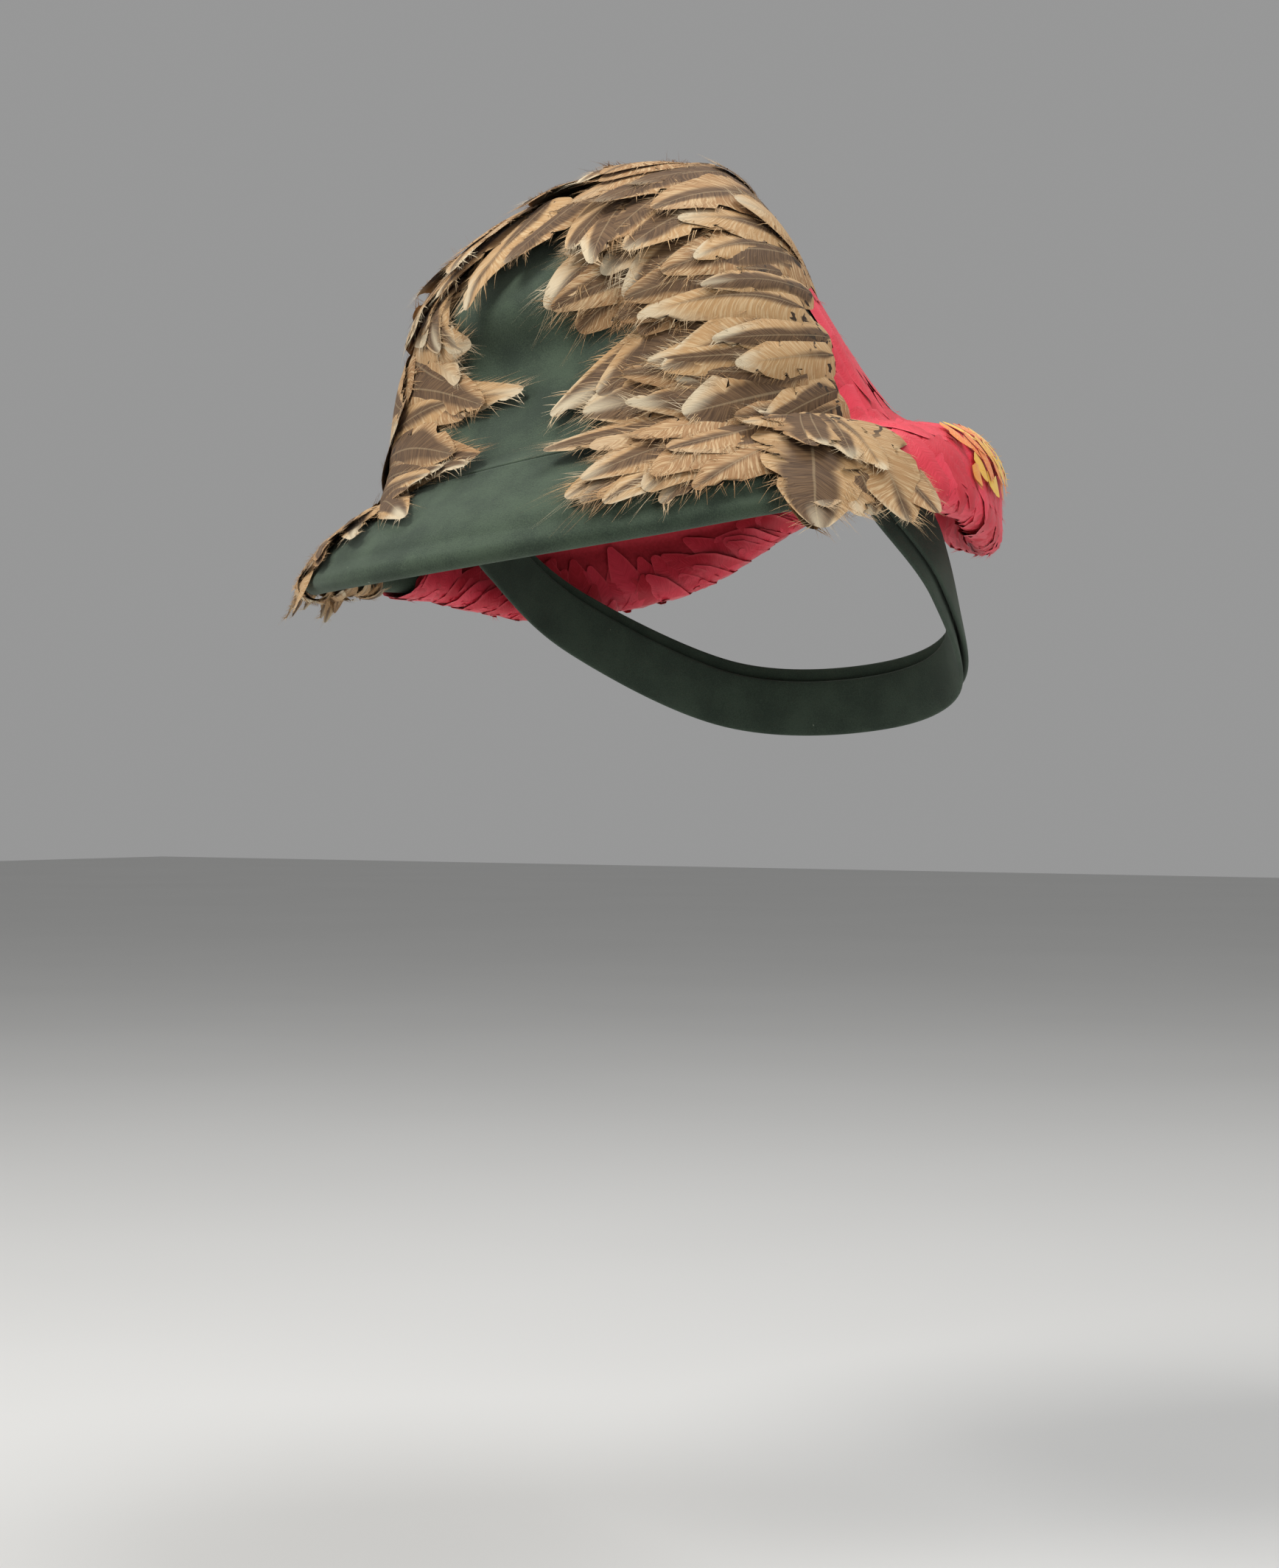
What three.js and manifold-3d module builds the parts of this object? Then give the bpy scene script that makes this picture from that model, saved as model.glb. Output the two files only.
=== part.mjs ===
// A felt tilt hat with a feather covering, in the form it has when it is worn.
// Millimetres. +Z is up, -Y is the hat's front and +X is its left side as worn.
// The origin is the top of the crown's inside, the point that carries the hat.
import * as THREE from 'three';
import { mergeVertices } from 'three/addons/utils/BufferGeometryUtils.js';
import Module from 'manifold-3d';

// Felt body
const CROWN_HALF_WIDTH = 77;
const CROWN_HALF_LENGTH = 90;
const CROWN_HEIGHT = 84;
const BRIM_WIDTH = 24;
const BRIM_DROP = 25;
const FELT_THICKNESS = 2.2;
const HEM_THICKNESS = 4.4;
const HEM_WIDTH = 7;
const SIDE_DIP = 6;

// How the hat sits when it is worn
const FORWARD_TILT = 5.5;
const SIDE_TILT = 5.5;

// Feather covering
const PAD_LIFT = 0.8;
const PAD_THICKNESS = 1;
const FEATHER_THICKNESS = 1.7;
const BROWN_LENGTH = 60;
const BROWN_WIDTH = 18;
const RED_LENGTH = 30;
const RED_WIDTH = 15;
const YELLOW_LENGTH = 15;
const YELLOW_WIDTH = 7;
const TUFT_GAPS = 3.9;

// Back strap
const STRAP_WIDTH = 18;
const STRAP_THICKNESS = 2;
const STRAP_STEP_OUT = 4;
const PLY_GAP = 0.7;
const STRAP_REACH = 106;
const STRAP_DROP = 75;

// Space between pieces that lie against each other. Coverings are cut further off the felt, as their facets
// and the felt's don't meet at the same places. The gap at the seam is half of it, in stations.
const CLEARANCE = 0.3;
const CUT_DISTANCE = 0.4;
const SEAM_GAP = 0.0055;

// Fineness of the meshes
const FELT_COLUMNS = 40;
const PAD_COLUMN_DEGREES = 12;
const STRAP_STATIONS = 36;
const CAP_EDGE = 0.34;
const JOIN_FINENESS = 0.3;
const CUT_FINENESS = 0.04;
const FRAME_STEP = 0.03;
const SETTLE_STEP = 0.05;
const SETTLE_FINENESS = 0.0005;
const SAME_STATION = 0.03;
const SAME_CORNER = 1e-5;

// The outer felt surface is a fan of profiles round the crown, the same on both sides. A place on it is an
// angle, from the front towards the left side, and a station: 0 at the crown's top, 1 at the seam
// between crown and brim, 2 at the brim's edge.
// Radii are shares of the crown's radius at that angle and crown heights are shares of CROWN_HEIGHT.
// On the brim, the columns out are shares of BRIM_WIDTH and the columns down are shares of BRIM_DROP.
const PROFILES = [
  // crown: top r, z | shoulder r, z | wall r, z | foot r, z | seam z
  // brim: middle out, down | roll out, down | edge out, down
  [0.36, 0.84, 0.68, 0.58, 0.66, 0.36, 0.89, 0.10, 0.036, 0.50, 0.24, 0.96, 0.60, 1.29, 1.00],
  [0.37, 0.86, 0.69, 0.62, 0.76, 0.38, 0.93, 0.12, 0.036, 0.50, 0.20, 0.92, 0.56, 1.17, 0.96],
  [0.37, 0.90, 0.67, 0.72, 0.88, 0.44, 0.97, 0.13, 0.018, 0.42, 0.20, 0.71, 0.48, 0.92, 0.84],
  [0.37, 0.94, 0.62, 0.75, 0.82, 0.40, 0.95, 0.10, 0.000, 0.50, 0.16, 0.79, 0.50, 0.88, 0.96],
  [0.37, 0.96, 0.51, 0.74, 0.68, 0.36, 0.88, 0.07, 0.000, 0.52, 0.16, 0.79, 0.64, 0.67, 1.50],
  [0.36, 0.96, 0.47, 0.74, 0.63, 0.36, 0.86, 0.08, 0.000, 0.54, 0.16, 0.86, 0.60, 0.77, 1.32],
  [0.35, 0.96, 0.45, 0.74, 0.61, 0.36, 0.84, 0.08, 0.000, 0.54, 0.08, 0.92, 0.16, 1.08, 0.32],
];
const PROFILE_DEGREES = 180 / (PROFILES.length - 1);

// The right front sits lower, most of all at this angle.
const DIP_DEGREES = -50;
const DIP_SHARPNESS = 3;

// Stations of the rings that make the felt and the backing of the feathers
const CROWN_STATIONS = [0.08, 0.16, 0.25, 0.34, 0.44, 0.54, 0.64, 0.74, 0.84, 0.93];
const HEM_START = 2 - HEM_WIDTH / Math.hypot(BRIM_WIDTH, BRIM_DROP);
const HEM_ROUND = 0.06;
const BRIM_STATIONS = [1.2, 1.4, 1.6, HEM_START, 2 - HEM_ROUND];
const EDGE_STATIONS = [2 - HEM_ROUND / 2, 2, 2 + HEM_ROUND / 2];
const UNDER_STATIONS = [2 + HEM_ROUND, 4 - HEM_START, 4 - HEM_START + HEM_ROUND, 2.6, 2.8];
const RING_STATIONS = [...CROWN_STATIONS, 1, ...BRIM_STATIONS, ...EDGE_STATIONS, ...UNDER_STATIONS];

// Backing areas of the feather coverings: the angles between which they cover the felt, at a few stations.
// Stations past 2 lie on the brim's underside, so that 2.3 lies below 1.7.
const COVERED_LEFT = [
  { station: 0.25, from: 24, to: 97 },
  { station: 0.44, from: 30, to: 92 },
  { station: 0.74, from: 33, to: 81 },
  { station: 1.0, from: 35, to: 74 },
  { station: 1.4, from: 40, to: 82 },
  { station: 1.6, from: 52, to: 82 },
];
const COVERED_RIGHT = [
  { station: 0.25, from: -97, to: -38 },
  { station: 0.44, from: -92, to: -36 },
  { station: 0.74, from: -81, to: -30 },
  { station: 1.0, from: -74, to: -24 },
  { station: 1.4, from: -82, to: -30 },
  { station: 1.85, from: -80, to: -38 },
];
const COVERED_TOP_BACK = [
  { station: 0.25, from: 90, to: 270 },
  { station: 0.45, from: 90, to: 270 },
];
const COVERED_RED = [
  { station: 0.48, from: 96, to: 264 },
  { station: 0.64, from: 90, to: 270 },
  { station: 0.93, from: 80, to: 280 },
  { station: 1.0, from: 79, to: 281 },
  { station: 1.4, from: 87, to: 273 },
  { station: 2.1, from: 88, to: 272 },
  { station: 2.55, from: 96, to: 264 },
];
const COVERED_YELLOW = [
  { station: 1.34, from: 104, to: 122 },
  { station: 1.5, from: 103, to: 126 },
  { station: 1.66, from: 106, to: 124 },
];

// Rows of feathers: the roots stand evenly between two places on the felt. A heading is an angle from
// straight down the profile towards larger angles, and length and width are shares of the kind's own sizes.
const BROWN_ROWS = [
  { count: 4, from: [60, 0.36], to: [56, 0.84], headings: [-92, -68], length: 0.95, width: 1.0, bend: 10 },
  { count: 4, from: [88, 0.40], to: [74, 0.92], headings: [-96, -66], length: 0.80, width: 1.1, bend: 8 },
  { count: 3, from: [56, 1.0], to: [74, 1.05], headings: [-66, -52], length: 0.85, width: 1.0, bend: -8 },
  { count: 3, from: [66, 1.3], to: [80, 1.3], headings: [-34, -8], length: 0.48, width: 0.8, bend: 0 },
  { count: 5, from: [-74, 0.40], to: [-62, 1.0], headings: [88, 62], length: 0.72, width: 0.9, bend: -10 },
  { count: 3, from: [-56, 1.1], to: [-58, 1.6], headings: [62, 30], length: 0.50, width: 0.7, bend: 0 },
  { count: 3, from: [-40, 1.7], to: [-66, 1.75], headings: [22, -8], length: 0.40, width: 0.5, bend: 0 },
  { count: 5, from: [120, 0.30], to: [240, 0.30], headings: [-120, -240], length: 1.0, width: 1.0, bend: 0 },
  { count: 4, from: [74, 0.20], to: [-74, 0.20], headings: [-74, 74], length: 0.85, width: 0.9, bend: 0 },
];
const RED_ROWS = [
  { count: 6, from: [106, 0.50], to: [254, 0.50], headings: [8, -8], length: 1, width: 1.0, bend: 0 },
  { count: 7, from: [98, 0.68], to: [262, 0.68], headings: [10, -10], length: 1, width: 1.0, bend: 0 },
  { count: 8, from: [95, 0.86], to: [265, 0.86], headings: [10, -10], length: 1, width: 1.1, bend: 0 },
  { count: 9, from: [94, 1.1], to: [266, 1.1], headings: [10, -10], length: 0.8, width: 1.1, bend: 0 },
];
const YELLOW_ROWS = [
  { count: 3, from: [107, 1.36], to: [120, 1.36], headings: [15, 15], length: 1, width: 1, bend: 0 },
  { count: 2, from: [109, 1.52], to: [119, 1.52], headings: [15, 15], length: 0.8, width: 1, bend: 0 },
];
const FEATHER_STATIONS = 4;
const RED_FEATHER_STATIONS = 3;
const TIP_DROOP = 0.3;

// From this station on a feather is past the brim's edge and hangs free.
const FREE_STATION = 1.999;

// A feather's outline: how wide it stays at the root, its fullness, and where its widest part lies
const LEAF_ROOT = 0.3;
const LEAF_FULLNESS = 0.85;
const LEAF_ROUNDNESS = 0.7;
const LEAF_START = 0.06;
const LEAF_SPAN = 0.92;

// Heights in a feather's section: its edges and keel as shares of the backing, its ridge at the root as a
// share of its full rise at the tip
const EDGE_LEVEL = 0.8;
const KEEL_LEVEL = 0.4;
const ROOT_RISE = 0.2;

// The strap's middle line from one side to the other, below the seam: half the loop, mirrored
// Across is a share of the crown's half width, back is a share of STRAP_REACH, down is a share of STRAP_DROP.
const STRAP_ROUTE = [
  { across: 0.935, back: 0.12, down: 0.20 },
  { across: 0.88, back: 0.42, down: 0.52 },
  { across: 0.56, back: 0.85, down: 0.90 },
  { across: 0, back: 1, down: 1 },
];
const STRAP_END_DEGREES = 86;
const STRAP_END_STATION = 0.86;

const FELT_GREEN = new THREE.MeshStandardMaterial({ color: 0x35422f, roughness: 0.95, metalness: 0 });
const STRAP_GREEN = new THREE.MeshStandardMaterial({ color: 0x2c382c, roughness: 0.95, metalness: 0 });
const FEATHER_BROWN = new THREE.MeshStandardMaterial({ color: 0x8a6b47, roughness: 0.7, metalness: 0 });
const FEATHER_RED = new THREE.MeshStandardMaterial({ color: 0xc4303c, roughness: 0.6, metalness: 0 });
const FEATHER_YELLOW = new THREE.MeshStandardMaterial({ color: 0xe59a1c, roughness: 0.6, metalness: 0 });

const wasm = await Module();
wasm.setup();

const { degToRad, radToDeg, euclideanModulo, lerp, smoothstep, clamp } = THREE.MathUtils;

// One stretch of a smooth curve through rows of numbers
function curveBetween(before, start, end, after, share) {
  const square = share * share;
  const cube = square * share;
  return start.map((value, i) => {
    const slope = (end[i] - before[i]) * share;
    const bend = (2 * before[i] - 5 * value + 4 * end[i] - after[i]) * square;
    const twist = (3 * value - before[i] - 3 * end[i] + after[i]) * cube;
    return (2 * value + slope + bend + twist) / 2;
  });
}

function profileShares(degrees) {
  const angle = Math.abs(euclideanModulo(degrees + 180, 360) - 180);
  const last = PROFILES.length - 1;
  const start = Math.min(Math.floor(angle / PROFILE_DEGREES), last - 1);
  const row = (i) => PROFILES[last - Math.abs(last - Math.abs(i))];
  const share = angle / PROFILE_DEGREES - start;
  return curveBetween(row(start - 1), row(start), row(start + 1), row(start + 2), share);
}

function crownRadius(degrees) {
  const angle = degToRad(degrees);
  return 1 / Math.hypot(Math.sin(angle) / CROWN_HALF_WIDTH, Math.cos(angle) / CROWN_HALF_LENGTH);
}

function profileKnots(degrees) {
  const shares = profileShares(degrees);
  const [topR, topZ, shoulderR, shoulderZ, wallR, wallZ, footR, footZ, seamZ, ...brim] = shares;
  const radius = crownRadius(degrees);
  const seam = [radius, seamZ * CROWN_HEIGHT];
  const crown = [[topR, topZ], [shoulderR, shoulderZ], [wallR, wallZ], [footR, footZ]];
  const crownKnots = crown.map(([r, z]) => [r * radius, z * CROWN_HEIGHT]);
  const brimKnots = [0, 2, 4].map((i) => [radius + brim[i] * BRIM_WIDTH, -brim[i + 1] * BRIM_DROP]);
  return { crown: [[0, CROWN_HEIGHT], ...crownKnots, seam], brim: [seam, ...brimKnots] };
}

function alongKnots(knots, share, before) {
  const last = knots.length - 1;
  const start = clamp(Math.floor(share * last), 0, last - 1);
  const beyond = knots[last].map((value, i) => 2 * value - knots[last - 1][i]);
  const row = (i) => (i < 0 ? before : i > last ? beyond : knots[i]);
  return curveBetween(row(start - 1), row(start), row(start + 1), row(start + 2), share * last - start);
}

// How much lower the felt lies towards the right front: most at the seam, not at all at the edge
function dipAt(degrees, station) {
  const towards = ((1 + Math.cos(degToRad(degrees - DIP_DEGREES))) / 2) ** DIP_SHARPNESS;
  const fade = station < 1 ? smoothstep(station, 0.5, 1) : 1 - smoothstep(station, 1, 2);
  return SIDE_DIP * towards * fade;
}

function surfacePoint(degrees, station) {
  const { crown, brim } = profileKnots(degrees);
  const mirrored = [-crown[1][0], crown[1][1]];
  const outside = brim[0].map((value, i) => 2 * value - brim[1][i]);
  const onCrown = station <= 1;
  const [r, z] = onCrown ? alongKnots(crown, station, mirrored) : alongKnots(brim, station - 1, outside);
  const angle = degToRad(degrees);
  return new THREE.Vector3(Math.sin(angle) * r, -Math.cos(angle) * r, z - dipAt(degrees, station));
}

function surfaceFrame(degrees, station) {
  const at = clamp(station, FRAME_STEP, 2 - FRAME_STEP / 2);
  const above = surfacePoint(degrees, at - FRAME_STEP);
  const down = surfacePoint(degrees, Math.min(at + FRAME_STEP, 2)).sub(above).normalize();
  const around = surfacePoint(degrees + 1, at).sub(surfacePoint(degrees - 1, at)).normalize();
  const out = new THREE.Vector3().crossVectors(around, down).normalize().negate();
  return { down, around, out };
}

function offFelt(degrees, station, distance) {
  return surfacePoint(degrees, station).addScaledVector(surfaceFrame(degrees, station).out, distance);
}

function feltThickness(station) {
  return lerp(FELT_THICKNESS, HEM_THICKNESS, smoothstep(station, HEM_START - HEM_ROUND, HEM_START));
}

// A place at a distance off the felt. Past station 2 it goes on round the brim's edge and back along the
// underside, so that 2.3 lies below 1.7.
function roundEdge(degrees, station, distance) {
  const topEnd = 2 - HEM_ROUND;
  if (station <= topEnd) return offFelt(degrees, station, distance);
  if (station >= 2 + HEM_ROUND) {
    const above = 4 - station;
    return offFelt(degrees, above, -feltThickness(above) - distance);
  }
  const turn = ((station - topEnd) / (2 * HEM_ROUND)) * Math.PI;
  const { down, out } = surfaceFrame(degrees, topEnd);
  const radius = HEM_THICKNESS / 2 + distance;
  const centre = offFelt(degrees, topEnd, -HEM_THICKNESS / 2);
  return centre.addScaledVector(out, Math.cos(turn) * radius).addScaledVector(down, Math.sin(turn) * radius);
}

// A closed body from rows of points. Each row is a ring, or a strip when around is false; the rows are joined
// to each other in order, and the last one to the first when loop is true.
function bodyFromRows(rows, { around = true, loop = false, start = null, end = null } = {}) {
  const columns = rows[0].length;
  const corners = rows.flat().flatMap((point) => point.toArray());
  const faces = [];
  const at = (row, column) => (row % rows.length) * columns + (column % columns);
  const rowSpans = loop ? rows.length : rows.length - 1;
  const columnSpans = around ? columns : columns - 1;
  for (let row = 0; row < rowSpans; row++) {
    for (let column = 0; column < columnSpans; column++) {
      const a = at(row, column);
      const b = at(row, column + 1);
      const c = at(row + 1, column + 1);
      const d = at(row + 1, column);
      faces.push(a, d, c, a, c, b);
    }
  }
  const fan = (centre, row, forwards) => {
    const tip = corners.length / 3;
    corners.push(...centre.toArray());
    for (let column = 0; column < columns; column++) {
      const pair = [at(row, column), at(row, column + 1)];
      faces.push(tip, ...(forwards ? pair : pair.reverse()));
    }
  };
  if (start) fan(start, 0, true);
  if (end) fan(end, rows.length - 1, false);
  const geometry = new THREE.BufferGeometry();
  geometry.setAttribute('position', new THREE.Float32BufferAttribute(corners, 3));
  geometry.setIndex(faces);
  return geometry;
}

function ring(columns, point) {
  return Array.from({ length: columns }, (_, i) => point((360 / columns) * i));
}

function turnedOut(geometry) {
  const position = geometry.getAttribute('position');
  const index = geometry.getIndex();
  const [a, b, c] = [0, 1, 2].map(() => new THREE.Vector3());
  let volume = 0;
  for (let i = 0; i < index.count; i += 3) {
    a.fromBufferAttribute(position, index.getX(i));
    b.fromBufferAttribute(position, index.getX(i + 1));
    c.fromBufferAttribute(position, index.getX(i + 2));
    volume += a.dot(b.cross(c));
  }
  if (volume < 0) index.array.reverse();
  return geometry;
}

function feltCrown() {
  const stations = [...CROWN_STATIONS, 1 - SEAM_GAP];
  const outside = stations.map((station) =>
    ring(FELT_COLUMNS, (degrees) => surfacePoint(degrees, station)));
  const inside = [...stations].reverse().map((station) =>
    ring(FELT_COLUMNS, (degrees) => offFelt(degrees, station, -FELT_THICKNESS)));
  const top = new THREE.Vector3(0, 0, CROWN_HEIGHT);
  const insideTop = new THREE.Vector3(0, 0, CROWN_HEIGHT - FELT_THICKNESS);
  return turnedOut(bodyFromRows([...outside, ...inside], { start: top, end: insideTop }));
}

function feltBrim() {
  const stations = [1 + SEAM_GAP, ...BRIM_STATIONS, ...EDGE_STATIONS, ...UNDER_STATIONS, 3 - SEAM_GAP];
  const rows = stations.map((station) =>
    ring(FELT_COLUMNS, (degrees) => roundEdge(degrees, station, 0)));
  return turnedOut(bodyFromRows(rows, { loop: true }));
}

// Both felt pieces grown by the cut distance, as one body. The coverings and the strap are cut by it.
function grownFelt() {
  const outside = [...RING_STATIONS, 3].map((station) =>
    ring(FELT_COLUMNS, (degrees) => roundEdge(degrees, station, CUT_DISTANCE)));
  const inside = [...CROWN_STATIONS].reverse().map((station) =>
    ring(FELT_COLUMNS, (degrees) => offFelt(degrees, station, -FELT_THICKNESS - CUT_DISTANCE)));
  const start = new THREE.Vector3(0, 0, CROWN_HEIGHT + CUT_DISTANCE);
  const end = new THREE.Vector3(0, 0, CROWN_HEIGHT - FELT_THICKNESS - CUT_DISTANCE);
  return turnedOut(bodyFromRows([...outside, ...inside], { start, end }));
}

// The rings of an area: its first and last stations and the felt's own between them
function coveredRings(area) {
  const first = area[0].station;
  const last = area[area.length - 1].station;
  const between = RING_STATIONS.filter(
    (station) => station > first + SAME_STATION && station < last - SAME_STATION);
  return [first, ...between, last].map((station) => {
    const next = Math.max(area.findIndex((row) => row.station >= station), 1);
    const [low, high] = [area[next - 1], area[next]];
    const share = (station - low.station) / (high.station - low.station);
    return { station, from: lerp(low.from, high.from, share), to: lerp(low.to, high.to, share) };
  });
}

// A thin backing that follows the felt over an area
function backing(area, lift) {
  const rings = coveredRings(area);
  const widest = Math.max(...rings.map(({ from, to }) => to - from));
  const spans = Math.ceil(widest / PAD_COLUMN_DEGREES);
  const strip = ({ station, from, to }, distance) =>
    Array.from({ length: spans + 1 }, (_, i) => roundEdge(lerp(from, to, i / spans), station, distance));
  const rows = rings.map((row) => {
    const near = strip(row, lift);
    const far = strip(row, lift + PAD_THICKNESS);
    return [...near, ...far.reverse()];
  });
  return closedStrip(rows);
}

// Rows that are flat loops, closed at both ends between their near and far sides
function closedStrip(rows) {
  const geometry = bodyFromRows(rows);
  const columns = rows[0].length;
  const faces = [...geometry.getIndex().array];
  const close = (offset, forwards) => {
    for (let i = 0; i < columns / 2 - 1; i++) {
      const [a, b, c, d] = [i, i + 1, columns - 2 - i, columns - 1 - i].map((column) => offset + column);
      faces.push(...(forwards ? [a, b, c, a, c, d] : [a, c, b, a, d, c]));
    }
  };
  close(0, true);
  close((rows.length - 1) * columns, false);
  geometry.setIndex(faces);
  return turnedOut(geometry);
}

// The cap of backing over the crown's top, all the way round
function topBacking() {
  const stations = [...CROWN_STATIONS.filter((station) => station < CAP_EDGE), CAP_EDGE];
  const columns = 360 / PAD_COLUMN_DEGREES;
  const at = (distance) => (station) => ring(columns, (degrees) => offFelt(degrees, station, distance));
  const far = stations.map(at(PAD_LIFT + PAD_THICKNESS));
  const near = [...stations].reverse().map(at(PAD_LIFT));
  const start = new THREE.Vector3(0, 0, CROWN_HEIGHT + PAD_LIFT + PAD_THICKNESS);
  const end = new THREE.Vector3(0, 0, CROWN_HEIGHT + PAD_LIFT);
  return turnedOut(bodyFromRows([...far, ...near], { start, end }));
}

// The place on the felt nearest to a point
function settle(point) {
  const degrees = radToDeg(Math.atan2(point.x, -point.y));
  const gap = (station) => surfacePoint(degrees, station).distanceToSquared(point);
  let station = 0;
  for (let tried = SETTLE_STEP; tried <= 2 + SETTLE_FINENESS; tried += SETTLE_STEP) {
    if (gap(tried) < gap(station)) station = tried;
  }
  for (let step = SETTLE_STEP / 2; step > SETTLE_FINENESS; step /= 2) {
    const tried = [clamp(station - step, 0, 2), clamp(station + step, 0, 2)];
    station = [station, ...tried].reduce((best, next) => (gap(next) < gap(best) ? next : best));
  }
  return { degrees, station };
}

// Half width of a feather along its length, as a share of its widest
function leafWidth(share) {
  const round = Math.sin(Math.PI * Math.min(share * LEAF_SPAN + LEAF_START, 1)) ** LEAF_ROUNDNESS;
  return LEAF_ROOT * (1 - share) + LEAF_FULLNESS * round;
}

// One feather: a low ridged strip with its keel inside the backing, which follows the felt and rises to its
// tip. Past the brim's edge it hangs free and droops.
function feather(root, heading, length, width, bend, lift, stations) {
  const rows = [];
  let place = { degrees: root[0], station: root[1] };
  let foot = surfacePoint(...root);
  let frame = surfaceFrame(...root);
  const turn = degToRad(heading);
  let along = frame.down.clone().multiplyScalar(Math.cos(turn)).addScaledVector(frame.around, Math.sin(turn));
  for (let i = 0; i <= stations; i++) {
    const share = i / stations;
    const half = (width / 2) * leafWidth(share);
    const side = new THREE.Vector3().crossVectors(along, frame.out).normalize();
    const free = place.station >= FREE_STATION;
    const edgeHeight = lift + PAD_THICKNESS * EDGE_LEVEL;
    const edgePoint = (reach) => {
      const moved = foot.clone().addScaledVector(side, reach);
      const spot = settle(moved);
      if (free || spot.station >= FREE_STATION) return moved.addScaledVector(frame.out, edgeHeight);
      return offFelt(spot.degrees, spot.station, edgeHeight);
    };
    const ridgeRise = PAD_THICKNESS * EDGE_LEVEL + FEATHER_THICKNESS * (ROOT_RISE + (1 - ROOT_RISE) * share);
    const ridge = foot.clone().addScaledVector(frame.out, lift + ridgeRise);
    const keel = foot.clone().addScaledVector(frame.out, lift + PAD_THICKNESS * KEEL_LEVEL);
    rows.push([edgePoint(-half), ridge, edgePoint(half), keel]);
    if (i === stations) break;
    along.applyAxisAngle(frame.out, degToRad(bend) / stations);
    const next = foot.clone().addScaledVector(along, length / stations);
    place = settle(next);
    if (place.station >= FREE_STATION) {
      along.z -= TIP_DROOP;
      along.normalize();
      foot = foot.clone().addScaledVector(along, length / stations);
    } else {
      foot = surfacePoint(place.degrees, place.station);
      frame = surfaceFrame(place.degrees, place.station);
    }
    along.addScaledVector(frame.out, -along.dot(frame.out)).normalize();
  }
  const total = (row) => row.reduce((sum, point) => sum.add(point), new THREE.Vector3());
  const centre = (row) => total(row).divideScalar(row.length);
  return turnedOut(bodyFromRows(rows, { start: centre(rows[0]), end: centre(rows[stations]) }));
}

function feathers(rows, size, lift, stations) {
  return rows.flatMap(({ count, from, to, headings, length, width, bend }) =>
    Array.from({ length: count }, (_, i) => {
      const share = count > 1 ? i / (count - 1) : 0.5;
      const root = [lerp(from[0], to[0], share), lerp(from[1], to[1], share)];
      const heading = lerp(headings[0], headings[1], share);
      return feather(root, heading, length * size.length, width * size.width, bend, lift, stations);
    }));
}

function solidFrom(geometry) {
  const merged = mergeVertices(geometry, SAME_CORNER);
  const vertProperties = new Float32Array(merged.getAttribute('position').array);
  const triVerts = new Uint32Array(merged.getIndex().array);
  return new wasm.Manifold(new wasm.Mesh({ numProp: 3, vertProperties, triVerts }));
}

// The triangles of the shell that has the most of them, without the pockets shut in between feathers
function outerShell(mesh) {
  const shellOf = Array.from({ length: mesh.vertProperties.length / mesh.numProp }, (_, i) => i);
  const root = (vertex) => {
    let top = vertex;
    while (shellOf[top] !== top) top = shellOf[top];
    shellOf[vertex] = top;
    return top;
  };
  const corners = [...mesh.triVerts];
  for (let i = 0; i < corners.length; i += 3) {
    shellOf[root(corners[i + 1])] = root(corners[i]);
    shellOf[root(corners[i + 2])] = root(corners[i]);
  }
  const sizes = new Map();
  corners.forEach((vertex) => sizes.set(root(vertex), (sizes.get(root(vertex)) ?? 0) + 1));
  const larger = (best, key) => (sizes.get(key) > sizes.get(best) ? key : best);
  const largest = [...sizes.keys()].reduce(larger);
  return corners.filter((vertex) => root(vertex) === largest);
}

// Joins the bodies and cuts them clear of the felt
function fused(geometries, fineness = JOIN_FINENESS) {
  const whole = geometries.map(solidFrom).reduce((sum, solid) => sum.add(solid));
  const plain = whole.asOriginal().simplify(fineness);
  const mesh = plain.subtract(solidFrom(grownFelt())).asOriginal().simplify(CUT_FINENESS).getMesh();
  const geometry = new THREE.BufferGeometry();
  geometry.setAttribute('position', new THREE.Float32BufferAttribute(mesh.vertProperties, 3));
  geometry.setIndex(outerShell(mesh));
  return geometry;
}

function mirroredSide(area) {
  return area.map(({ station, from, to }) => ({ station, from: -to, to: -from }));
}

function mirroredRows(rows) {
  return rows.map(({ from, to, headings, ...rest }) => ({
    from: [-from[0], from[1]],
    to: [-to[0], to[1]],
    headings: headings.map((heading) => -heading),
    ...rest,
  }));
}

function brownCovering() {
  const size = { length: BROWN_LENGTH, width: BROWN_WIDTH };
  const backings = [COVERED_LEFT, COVERED_RIGHT, COVERED_TOP_BACK].map((area) => backing(area, PAD_LIFT));
  return fused([topBacking(), ...backings, ...feathers(BROWN_ROWS, size, PAD_LIFT, FEATHER_STATIONS)]);
}

function redCovering() {
  const size = { length: RED_LENGTH, width: RED_WIDTH };
  const leaves = feathers(RED_ROWS, size, PAD_LIFT, RED_FEATHER_STATIONS);
  return fused([backing(COVERED_RED, PAD_LIFT), ...leaves]);
}

function yellowTuft(area, rows) {
  const size = { length: YELLOW_LENGTH, width: YELLOW_WIDTH };
  const lift = PAD_LIFT + PAD_THICKNESS * EDGE_LEVEL + FEATHER_THICKNESS + TUFT_GAPS * CLEARANCE;
  return fused([backing(area, lift), ...feathers(rows, size, lift, RED_FEATHER_STATIONS)]);
}

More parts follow.
